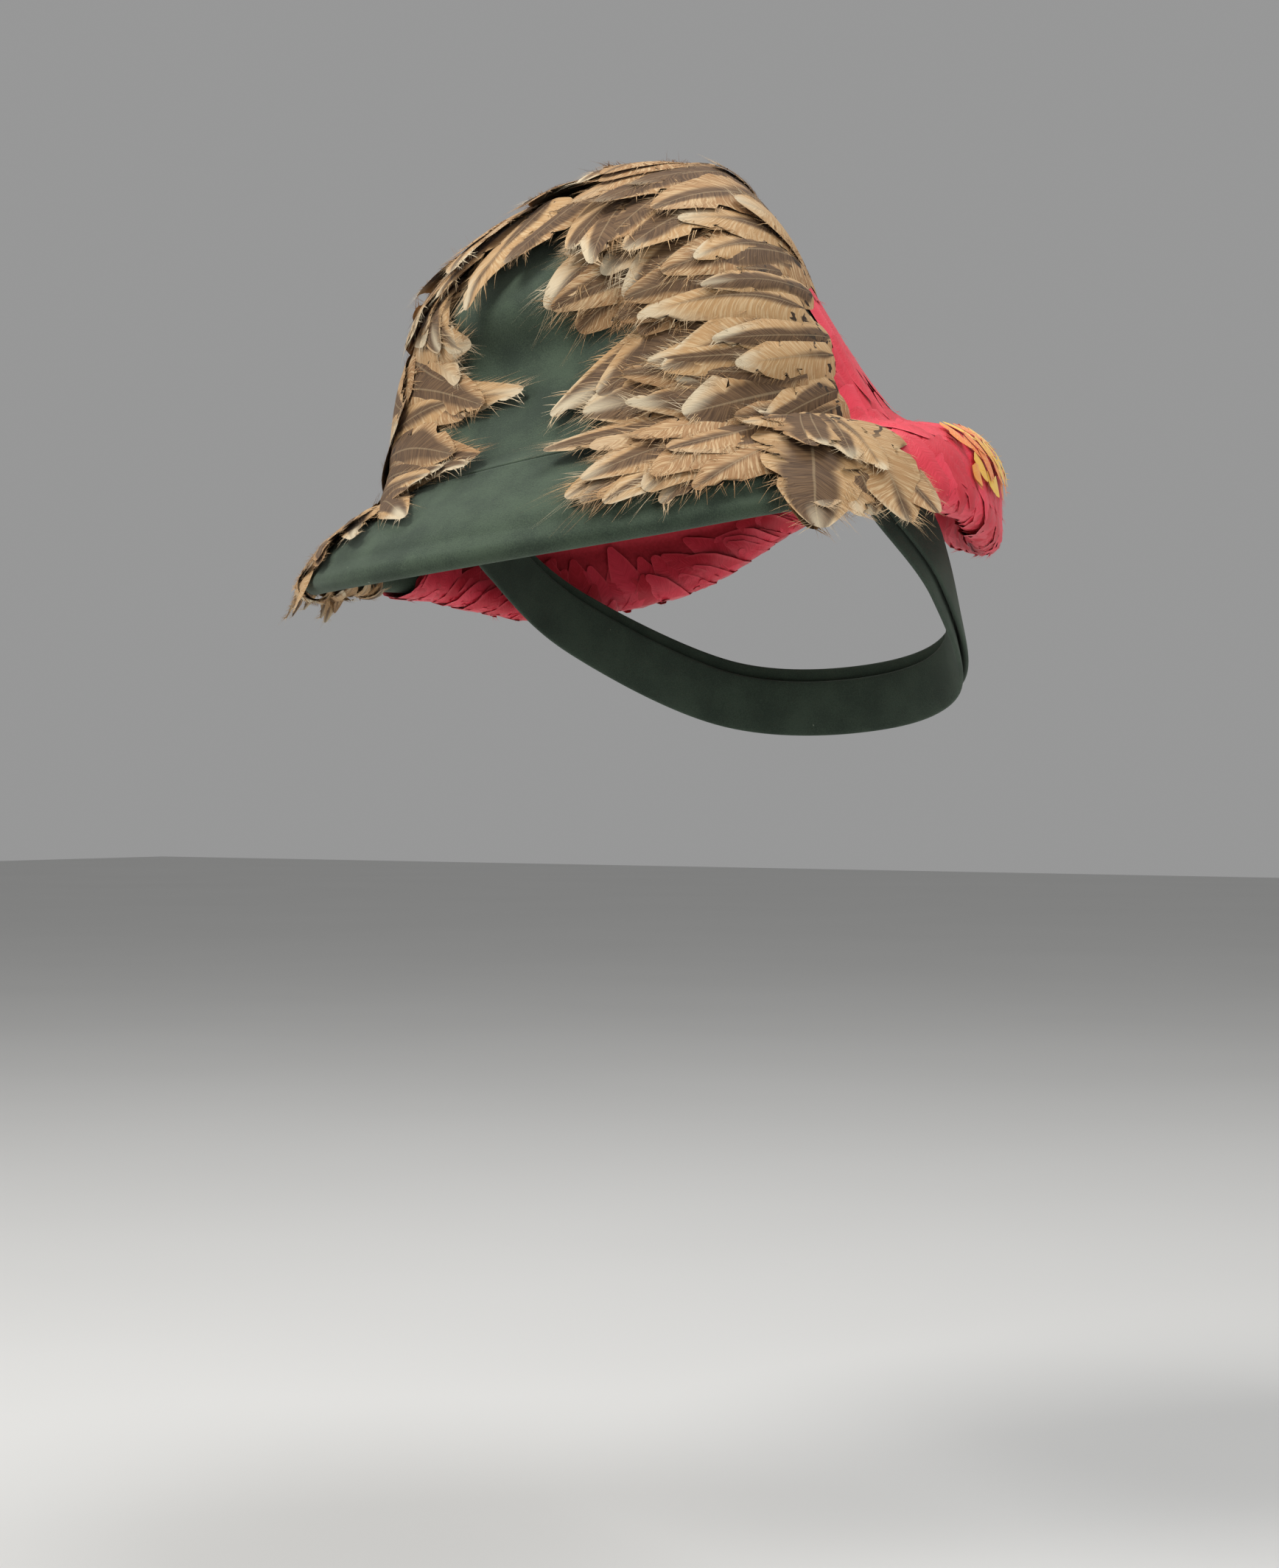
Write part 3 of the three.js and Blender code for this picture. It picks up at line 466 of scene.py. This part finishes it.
def vane_template(name, across, along, barbs, notches, seed, root=0.3, roundness=0.55):
    """One flat feather: x is its side in half widths, y goes from root to tip, and z is a little curl.
    Barbs come in small clumps, most of them towards the tip, and a few notches split the vane."""
    rng = random.Random(seed)
    bm = bmesh.new()
    vane = bm.loops.layers.uv.new("vane")
    marks = {}
    splits = [(rng.uniform(0.35, 0.98), rng.choice((-1, 1)), rng.uniform(0.3, 0.75)) for _ in range(notches)]
    blade = bmesh.ops.create_grid(bm, x_segments=across, y_segments=along, size=1)["verts"]
    for vert in blade:
        side, share = vert.co.x, (vert.co.y + 1) / 2
        marks[vert] = (side / 2 + 0.5, share)
        width = float(leaf_outline(share, root, roundness))
        reach = side * width
        for place, which, depth in splits:
            near = math.exp(-((share - place) / NOTCH_LENGTH) ** 2)
            if side * which > 0.2:
                reach *= 1 - depth * near * abs(side)
        vert.co = (reach, share - VANE_BOW * side * side * width, 0)
    mark_vane(bm, vane, blade, marks)
    for i in range(barbs):
        if i % BARB_CLUMP == 0:
            which = 1 if (i // BARB_CLUMP) % 2 else -1
            middle = 1 - 0.85 * rng.random() ** 1.6
            outward = rng.uniform(0.04, 0.38)
            forward = rng.uniform(0.05, 0.15)
            curl = rng.uniform(-0.3, 1.0)
        share = min(max(middle + rng.uniform(-0.02, 0.02), 0.05), 0.995)
        width = float(leaf_outline(share, root, roundness))
        inner = rng.uniform(0.55, 0.9) if share < 0.93 else rng.uniform(0.0, 0.9)
        base = Vector((which * width * inner, share - VANE_BOW * width * inner * inner, 0))
        reach = Vector((which * outward * rng.uniform(0.4, 1.5), forward * rng.uniform(0.4, 1.5), curl))
        thick = rng.uniform(0.0016, 0.0046)
        made = bmesh.ops.create_grid(bm, x_segments=1, y_segments=2, size=1)["verts"]
        for vert in made:
            step = (vert.co.y + 1) / 2
            marks[vert] = (0.5 + which * (0.36 + 0.14 * step), share)
            slim = thick * (1 - 0.9 * step) * vert.co.x
            vert.co = base + reach * step + Vector((0, slim, 0.15 * step * (1 - step)))
        mark_vane(bm, vane, made, marks)
    mesh = bpy.data.meshes.new(name)
    bm.to_mesh(mesh)
    bm.free()
    mesh.attributes.new("tone", "FLOAT", "POINT")
    return mesh


class Plumage:
    """Feathers of one piece, laid one after another on the felt."""

    def __init__(self, name, templates, size, seed):
        self.name = name
        self.templates = templates
        self.size = size
        self.rng = random.Random(seed)
        self.bm = bmesh.new()

    def path(self, root, heading, length, bend, lift, rise, droop):
        """Points, sides and normals along a feather that follows the felt, or droops past the brim's edge."""
        degrees, station = np.array([root[0]], float), np.array([root[1]], float)
        down, around, out = (Vector(v[0]) for v in surface_frame(degrees, station))
        turn = math.radians(heading)
        along = POSE @ (down * math.cos(turn) + around * math.sin(turn))
        foot = Vector(as_worn(hat_surface(degrees, station))[0])
        normal = POSE @ out
        step = length * MILLIMETRE / PATH_STEPS
        rows = []
        for i in range(PATH_STEPS + 1):
            side = along.cross(normal).normalized()
            height = (lift + rise * (i / PATH_STEPS) ** 2) * MILLIMETRE
            rows.append((foot + normal * height, side, normal.copy()))
            along = (Matrix.Rotation(math.radians(bend) / PATH_STEPS, 3, normal) @ along).normalized()
            place, faced, _, _ = GUIDE.find_nearest(foot + along * step)
            past_edge = droop and (foot + along * step - place).dot(along) > EDGE_SLACK * step
            if past_edge:
                foot = foot + along * step
                along = (along + Vector((0, 0, -droop / PATH_STEPS))).normalized()
            else:
                foot = place
                normal = (normal + FELT_PULL * faced * GUIDE_SIDE).normalized()
            along = (along - normal * along.dot(normal)).normalized()
        return [np.array([row[k] for row in rows]) for k in range(3)]

    def lay(self, root, heading, length, width, bend, lift, rise, camber, droop):
        template = self.rng.choice(self.templates)
        points, sides, normals = self.path(root, heading, length, bend, lift, rise, droop)
        shape = np.empty(len(template.vertices) * 3, np.float32)
        template.vertices.foreach_get("co", shape)
        side, share, curl = shape.reshape(-1, 3).T
        stops = np.linspace(0, 1, len(points))

        def at(rows):
            return np.stack([np.interp(share, stops, rows[:, k]) for k in range(3)], 1)

        half = width / 2 * MILLIMETRE
        over = np.clip(share - 1, 0, None)[:, None] * length * MILLIMETRE
        ahead = (points[-1] - points[-2]) / np.linalg.norm(points[-1] - points[-2])
        height = (curl * BARB_CURL - camber * side ** 2) * MILLIMETRE
        placed = at(points) + ahead * over + at(sides) * (side * half)[:, None]
        placed = placed + at(normals) * height[:, None]
        copy = template.copy()
        copy.vertices.foreach_set("co", placed.astype(np.float32).ravel())
        copy.attributes["tone"].data.foreach_set("value", np.full(len(side), self.rng.random(), np.float32))
        self.bm.from_mesh(copy)
        bpy.data.meshes.remove(copy)

    def lay_rows(self, rows, mirror=1, jitter=1.0, rise=3.0, camber=1.8, droop=0):
        length, width = self.size
        rng = self.rng
        for row in rows:
            for i in range(row["count"]):
                share = (i + rng.uniform(-STRAY_SHARE, STRAY_SHARE)) / max(row["count"] - 1, 1)
                start, end = row["start"], row["end"]
                degrees = start[0] + (end[0] - start[0]) * share
                degrees = degrees + rng.uniform(-STRAY_DEGREES, STRAY_DEGREES) * jitter
                station = start[1] + (end[1] - start[1]) * share
                station = station + rng.uniform(-STRAY_STATION, STRAY_STATION) * jitter
                heading = row["headings"][0] + (row["headings"][1] - row["headings"][0]) * share
                heading += rng.uniform(-STRAY_HEADING, STRAY_HEADING) * jitter
                self.lay(
                    (degrees * mirror, min(max(station, STATION_RANGE[0]), STATION_RANGE[1])),
                    heading * mirror,
                    length * row["length"] * rng.uniform(*LENGTH_RANGE),
                    width * row["width"] * rng.uniform(*WIDTH_RANGE),
                    rng.uniform(-STRAY_BEND, STRAY_BEND) * jitter,
                    row["lift"] + rng.uniform(0, STRAY_LIFT),
                    rise * rng.uniform(*RISE_RANGE),
                    camber,
                    droop,
                )

    def finish(self, material, slot, *nodes):
        piece = store(self.name, self.bm, material)
        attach(piece, "root")
        if nodes:
            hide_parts(*nodes)
        return piece


def make_red_ground(material):
    """The red skin under the small feathers, round the wings' edge and on below. Its red is the feathers' red
    made darker: painted shade for the depths between the feathers and for the brim's underside.
    """
    marks = [row["station"] for row in RED_GROUND]
    top = np.linspace(marks[0], 2 - HEM_ROUND, GROUND_TOP_RINGS)
    edge = np.linspace(2 - HEM_ROUND, marks[-1], GROUND_EDGE_RINGS)[1:]

    def ring_at(shares, station):
        start = np.interp(station, marks, [row["start"] for row in RED_GROUND])
        end = np.interp(station, marks, [row["end"] for row in RED_GROUND])
        return round_edge(start + (end - start) * shares, station, GROUND_HEIGHT)

    bm = sheet_of_rings(GROUND_COLUMNS, np.concatenate([top, edge]), ring_at, False)
    bmesh.ops.recalc_face_normals(bm, faces=bm.faces)
    ground = store("red_ground", bm, material)
    skin = ground.modifiers.new("skin", "SOLIDIFY")
    skin.thickness = GROUND_THICKNESS * MILLIMETRE
    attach(ground, "root")


def strap_line(stops):
    """The strap's middle line, from inside one side of the crown, round the back, to the other."""
    depth = FELT_THICKNESS + STRAP_GAP + STRAP_THICKNESS / 2
    end = off_felt(np.array([STRAP_END_DEGREES]), np.array([STRAP_END_STATION]), -depth)[0]
    half = [end] + [
        np.array([row["across"] * CROWN_HALF_WIDTH, row["back"] * STRAP_REACH, -row["down"] * STRAP_DROP])
        for row in STRAP_ROUTE
    ]
    knots = np.array(half + [point * [-1, 1, 1] for point in half[-2::-1]])
    padded = np.concatenate([[2 * knots[0] - knots[1]], knots, [2 * knots[-1] - knots[-2]]])
    spans = len(knots) - 1
    fine = np.linspace(0, 1, STRAP_SAMPLES)
    start = np.clip(np.floor(fine * spans).astype(int), 0, spans - 1)
    near = [padded[start + step] for step in range(4)]
    line = between(*near, (fine * spans - start)[:, None])
    gone = np.concatenate([[0], np.cumsum(np.linalg.norm(np.diff(line, axis=0), axis=1))])
    even = np.linspace(0, gone[-1], stops)
    return np.stack([np.interp(even, gone, line[:, k]) for k in range(3)], 1)


def make_strap(name, node, inwards, lower, material):
    """A flat felt band with soft rounded edges. The inner one lies further in and a little lower."""
    line = strap_line(STRAP_STOPS)
    tangents = unit(np.gradient(line, axis=0))
    reach = np.clip(line[:, 1] - STRAP_ROUTE[0]["back"] * STRAP_REACH, 0, None) / STRAP_REACH
    out = unit(np.stack([line[:, 0] / CROWN_HALF_WIDTH, reach, np.zeros(len(line))], 1))
    out = unit(out - tangents * np.sum(out * tangents, axis=1, keepdims=True))
    up = unit(np.cross(out, tangents))
    bm = bmesh.new()
    bmesh.ops.create_grid(bm, x_segments=STRAP_TURNS, y_segments=len(line) - 1, size=1)
    for vert in bm.verts:
        i = round((vert.co.y + 1) / 2 * (len(line) - 1))
        angle = (vert.co.x + 1) * math.pi
        across, through = math.cos(angle), math.sin(angle)
        wide = math.copysign(abs(across) ** STRAP_SQUARENESS, across) * STRAP_WIDTH / 2
        thick = math.copysign(abs(through) ** STRAP_SQUARENESS, through) * STRAP_THICKNESS / 2
        centre = line[i] - out[i] * inwards - up[i] * lower
        vert.co = as_worn(centre + up[i] * wide + out[i] * thick)
    bmesh.ops.remove_doubles(bm, verts=bm.verts, dist=DOUBLES_DISTANCE * MILLIMETRE)
    bmesh.ops.holes_fill(bm, edges=[edge for edge in bm.edges if edge.is_boundary], sides=0)
    bmesh.ops.recalc_face_normals(bm, faces=bm.faces)
    band = store(name, bm, material)
    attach(band, "root")
    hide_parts(node)


class Finish:
    """A material that is put together from a few named nodes."""

    def __init__(self, name, **values):
        self.material = bpy.data.materials.new(name)
        self.material.use_nodes = True
        self.nodes = self.material.node_tree.nodes
        self.links = self.material.node_tree.links
        self.shader = self.nodes["Principled BSDF"]
        for socket, value in values.items():
            self.shader.inputs[socket.replace("_", " ").title()].default_value = value

    def link(self, source, target):
        self.links.new(source, target)

    def math(self, operation, first, second=0.0):
        node = self.nodes.new("ShaderNodeMath")
        node.operation = operation
        for socket, value in zip(node.inputs, (first, second)):
            if isinstance(value, (int, float)):
                socket.default_value = value
            else:
                self.link(value, socket)
        return node.outputs[0]

    def spread(self, value, low, high, to_low=0.0, to_high=1.0):
        node = self.nodes.new("ShaderNodeMapRange")
        node.interpolation_type = "SMOOTHSTEP"
        self.link(value, node.inputs["Value"])
        for socket, number in zip(("From Min", "From Max", "To Min", "To Max"), (low, high, to_low, to_high)):
            node.inputs[socket].default_value = number
        return node.outputs[0]

    def noise(self, vector, scale, detail=2.0):
        node = self.nodes.new("ShaderNodeTexNoise")
        node.inputs["Scale"].default_value = scale
        node.inputs["Detail"].default_value = detail
        self.link(vector, node.inputs["Vector"])
        return node.outputs["Fac"]

    def joined(self, x, y, z):
        node = self.nodes.new("ShaderNodeCombineXYZ")
        for socket, value in zip(node.inputs, (x, y, z)):
            self.link(value, socket)
        return node.outputs[0]

    def mix(self, share, first, second):
        node = self.nodes.new("ShaderNodeMix")
        node.data_type = "RGBA"
        self.link(share, node.inputs[0])
        for socket, colour in ((node.inputs[6], first), (node.inputs[7], second)):
            if isinstance(colour, tuple):
                socket.default_value = (*colour, 1)
            else:
                self.link(colour, socket)
        return node.outputs[2]

    def bump(self, height, strength, distance):
        node = self.nodes.new("ShaderNodeBump")
        node.inputs["Strength"].default_value = strength
        node.inputs["Distance"].default_value = distance
        self.link(height, node.inputs["Height"])
        self.link(node.outputs[0], self.shader.inputs["Normal"])

    def object_place(self):
        return self.nodes.new("ShaderNodeTexCoord").outputs["Object"]

    def vane_place(self):
        """The place across the vane, how far that is from the quill, the place along it, and its tone."""
        uv = self.nodes.new("ShaderNodeUVMap")
        uv.uv_map = "vane"
        parts = self.nodes.new("ShaderNodeSeparateXYZ")
        self.link(uv.outputs[0], parts.inputs[0])
        tone = self.nodes.new("ShaderNodeAttribute")
        tone.attribute_name = "tone"
        offset = self.math("SUBTRACT", parts.outputs[0], 0.5)
        away = self.math("MULTIPLY", self.math("ABSOLUTE", offset), 2.0)
        return parts.outputs[0], away, parts.outputs[1], tone.outputs["Fac"]


def felt_finish(name, dark, light):
    felt = Finish(name, roughness=0.95, sheen_weight=0.15, sheen_roughness=0.5, sheen_tint=FELT_SHEEN)
    place = felt.object_place()
    fibres = felt.noise(place, 2600, 3.0)
    mottle = felt.noise(place, 70, 4.0)
    both = felt.math("ADD", felt.math("MULTIPLY", fibres, 0.45), felt.math("MULTIPLY", mottle, 0.55))
    colour = felt.mix(felt.spread(both, 0.36, 0.64), dark, light)
    lint = felt.spread(felt.noise(place, 420, 1.0), 0.80, 0.84)
    felt.link(felt.mix(lint, colour, LINT), felt.shader.inputs["Base Color"])
    felt.bump(fibres, 0.35, 0.0004)
    return felt.material


def barb_lines(finish, away, along, tone, lines):
    """Fine streaks that slant forwards from the quill, as barbs do."""
    straight = finish.math("MULTIPLY", along, lines)
    slant = finish.math("SUBTRACT", straight, finish.math("MULTIPLY", away, lines * 0.18))
    cross = finish.math("MULTIPLY", away, 1.5)
    return finish.noise(finish.joined(slant, cross, finish.math("MULTIPLY", tone, 40.0)), 1.0, 3.0)


def brown_finish():
    brown = Finish("brown_game_feather", roughness=0.62, sheen_weight=0.06, sheen_roughness=0.4)
    brown.shader.inputs["Specular IOR Level"].default_value = 0.22
    across, away, along, tone = brown.vane_place()
    streaks = barb_lines(brown, away, along, tone, 90)
    kind = brown.math("MULTIPLY", tone, 53.0)
    patch = brown.joined(brown.math("MULTIPLY", across, 1.6), brown.math("MULTIPLY", along, 1.3), kind)
    cloud = brown.noise(patch, 1.0, 1.5)
    edge = brown.math("ADD", away, brown.math("MULTIPLY", brown.math("SUBTRACT", cloud, 0.5), 1.5))
    own_share = brown.math("FRACT", brown.math("MULTIPLY", tone, 7.3))
    shifted = brown.math("ADD", edge, brown.math("MULTIPLY", brown.math("SUBTRACT", own_share, 0.35), 0.75))
    centre = brown.spread(shifted, 0.26, 0.56, 1.0, 0.0)
    warm = brown.mix(brown.spread(tone, 0.2, 0.8), GOLD_DEEP, GOLD_PALE)
    base = brown.mix(brown.spread(streaks, 0.42, 0.70), warm, GOLD_STREAK)
    dark = brown.mix(brown.spread(streaks, 0.30, 0.75), BROWN_DEEP, BROWN_STREAK)
    banded = brown.mix(centre, base, dark)
    spot_place = brown.joined(brown.math("MULTIPLY", across, 5.0), brown.math("MULTIPLY", along, 12.0), kind)
    spots = brown.spread(brown.noise(spot_place, 1.0, 1.0), 0.60, 0.64)
    near_root = brown.spread(along, 0.18, 0.42, 1.0, 0.0)
    spotted = brown.mix(brown.math("MULTIPLY", spots, near_root), banded, BROWN_SPOT)
    quill = brown.spread(away, 0.01, 0.04, 0.28, 0.0)
    quilled = brown.mix(quill, spotted, QUILL)
    pale_kind = brown.spread(tone, 0.25, 0.65)
    tip = brown.math("ADD", along, brown.math("MULTIPLY", brown.math("SUBTRACT", cloud, 0.5), 0.8))
    pale = brown.math("MULTIPLY", brown.spread(tip, 0.80, 1.05, 0.0, 0.85), pale_kind)
    brown.link(brown.mix(pale, quilled, CREAM_TIP), brown.shader.inputs["Base Color"])
    brown.bump(streaks, 0.5, 0.0004)
    return brown.material


def red_finish():
    red = Finish("red_dyed_feather", roughness=0.5, sheen_weight=0.12, sheen_roughness=0.4)
    _, away, along, tone = red.vane_place()
    streaks = barb_lines(red, away, along, tone, 60)
    shade = red.math("ADD", red.math("MULTIPLY", streaks, 0.6), red.math("MULTIPLY", tone, 0.4))
    colour = red.mix(red.spread(shade, 0.25, 0.8), RED_DEEP, RED_BRIGHT)
    edged = red.mix(red.spread(away, 0.7, 1.0, 0.0, 0.4), colour, RED_EDGE)
    red.link(edged, red.shader.inputs["Base Color"])
    red.bump(streaks, 0.4, 0.0003)
    return red.material


def shaded_ground_finish():
    ground = Finish("red_ground_skin_painted_shade", roughness=0.8)
    # Reds darker than the feathers' are painted shade; the flecks are texture
    fleck = ground.noise(ground.object_place(), 900, 3.0)
    ground.link(ground.mix(fleck, GROUND_SHADE_DARK, GROUND_SHADE_LIGHT), ground.shader.inputs["Base Color"])
    ground.bump(fleck, 0.4, 0.0004)
    return ground.material


def yellow_finish():
    yellow = Finish("yellow_dyed_feather", roughness=0.5, sheen_weight=0.3, sheen_roughness=0.4)
    _, away, along, tone = yellow.vane_place()
    streaks = barb_lines(yellow, away, along, tone, 40)
    colour = yellow.mix(yellow.spread(tone, 0.2, 0.9), ORANGE, YELLOW)
    streaked = yellow.mix(yellow.spread(streaks, 0.5, 0.8), colour, YELLOW_STREAK)
    yellow.link(streaked, yellow.shader.inputs["Base Color"])
    yellow.bump(streaks, 0.4, 0.0003)
    return yellow.material


def make_camera():
    data = bpy.data.cameras.new("camera")
    data.sensor_width = CAMERA_FILM
    data.lens = CAMERA_LENS
    camera = bpy.data.objects.new("camera", data)
    camera.location = CAMERA_PLACE
    camera.rotation_euler = [math.radians(turn) for turn in CAMERA_DEGREES]
    bpy.context.scene.collection.objects.link(camera)
    bpy.context.scene.camera = camera


def soft_light(name, place, size, power, colour):
    data = bpy.data.lights.new(name, "AREA")
    data.size = size
    data.energy = power
    data.color = colour
    light = bpy.data.objects.new(name, data)
    light.location = place
    aim = Vector(LIGHT_AIM) - Vector(place)
    light.rotation_euler = aim.to_track_quat("-Z", "Y").to_euler()
    bpy.context.scene.collection.objects.link(light)


def make_studio():
    bm = bmesh.new()
    bmesh.ops.create_grid(bm, x_segments=1, y_segments=1, size=FLOOR_REACH)
    bmesh.ops.translate(bm, verts=bm.verts, vec=(0, 0, FLOOR_HEIGHT))
    pale = Finish("pale_floor", roughness=0.9)
    tint = pale.noise(pale.object_place(), 3.0, 2.0)
    pale.link(pale.mix(tint, FLOOR_DARK, FLOOR_LIGHT), pale.shader.inputs["Base Color"])
    store("floor", bm, pale.material, smooth=False)
    world = bpy.data.worlds.new("studio")
    world.use_nodes = True
    background = world.node_tree.nodes["Background"]
    background.inputs["Color"].default_value = WORLD_COLOUR
    background.inputs["Strength"].default_value = WORLD_STRENGTH
    bpy.context.scene.world = world
    bpy.context.scene.view_settings.view_transform = "Standard"
    for light in LIGHTS:
        soft_light(**light)


make_camera()
make_studio()

GUIDE, GUIDE_SIDE = make_guide()

felt = felt_finish("green_wool_felt", FELT_DARK, FELT_LIGHT)
# The strap's darker felt is painted shade for the shade under the hat's back
shaded_strap_felt = felt_finish("green_strap_felt_painted_shade", STRAP_SHADE_DARK, STRAP_SHADE_LIGHT)
for piece in make_felt(felt):
    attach(piece, "root")

long_vanes = [vane_template(f"long_vane_{i}", 10, 28, 120, 4, 11 + i) for i in range(6)]
small_vanes = [vane_template(f"small_vane_{i}", 4, 8, 4, 0, 31 + i, 0.35, 0.6) for i in range(4)]
fine_vanes = [vane_template(f"fine_vane_{i}", 2, 6, 10, 0, 41 + i, 0.35, 0.6) for i in range(3)]

brown = brown_finish()
left = Plumage("brown_plumage_left", long_vanes, (BROWN_LENGTH, BROWN_WIDTH), 1)
left.lay_rows(BROWN_LEFT_ROWS)
left.lay_rows(BROWN_DROOPING_ROWS, rise=4.0, droop=3.0)
left.finish(brown, "brown_feather")
right = Plumage("brown_plumage_right", long_vanes, (BROWN_LENGTH, BROWN_WIDTH), 2)
right.lay_rows(BROWN_RIGHT_ROWS)
right.lay_rows(BROWN_TIP_ROWS, rise=0.9, camber=0.5)
right.lay_rows(BROWN_HANGING_ROWS, rise=0.5, camber=0.6, droop=3.0)
right.finish(brown, "brown_feather")
top = Plumage("brown_plumage_top", long_vanes, (BROWN_LENGTH, BROWN_WIDTH), 3)
top.lay_rows(BROWN_TOP_ROWS, rise=4.5)
top.finish(brown, "brown_feather", "brown_feathers")

make_red_ground(shaded_ground_finish())
red = Plumage("red_plumage", small_vanes, (RED_LENGTH, RED_WIDTH), 4)
red.lay_rows(RED_ROWS, jitter=0.7, rise=0.5, camber=0.8)
red.finish(red_finish(), "red_feather", "red_feathers")

yellow = yellow_finish()
for side, mirror in (("left", 1), ("right", -1)):
    tuft = Plumage(f"yellow_tuft_{side}_plumes", fine_vanes, (YELLOW_LENGTH, YELLOW_WIDTH), 6 + mirror)
    tuft.lay_rows(YELLOW_ROWS, mirror=mirror, jitter=1.6, rise=0.5, camber=0.3)
    tuft.finish(yellow, "yellow_feather", f"yellow_tuft_{side}")

make_strap("strap_outer_band", "strap_outer", 0, 0, shaded_strap_felt)
make_strap("strap_inner_band", "strap_inner", STRAP_THICKNESS + PLY_GAP, STRAP_STEP_OUT, shaded_strap_felt)
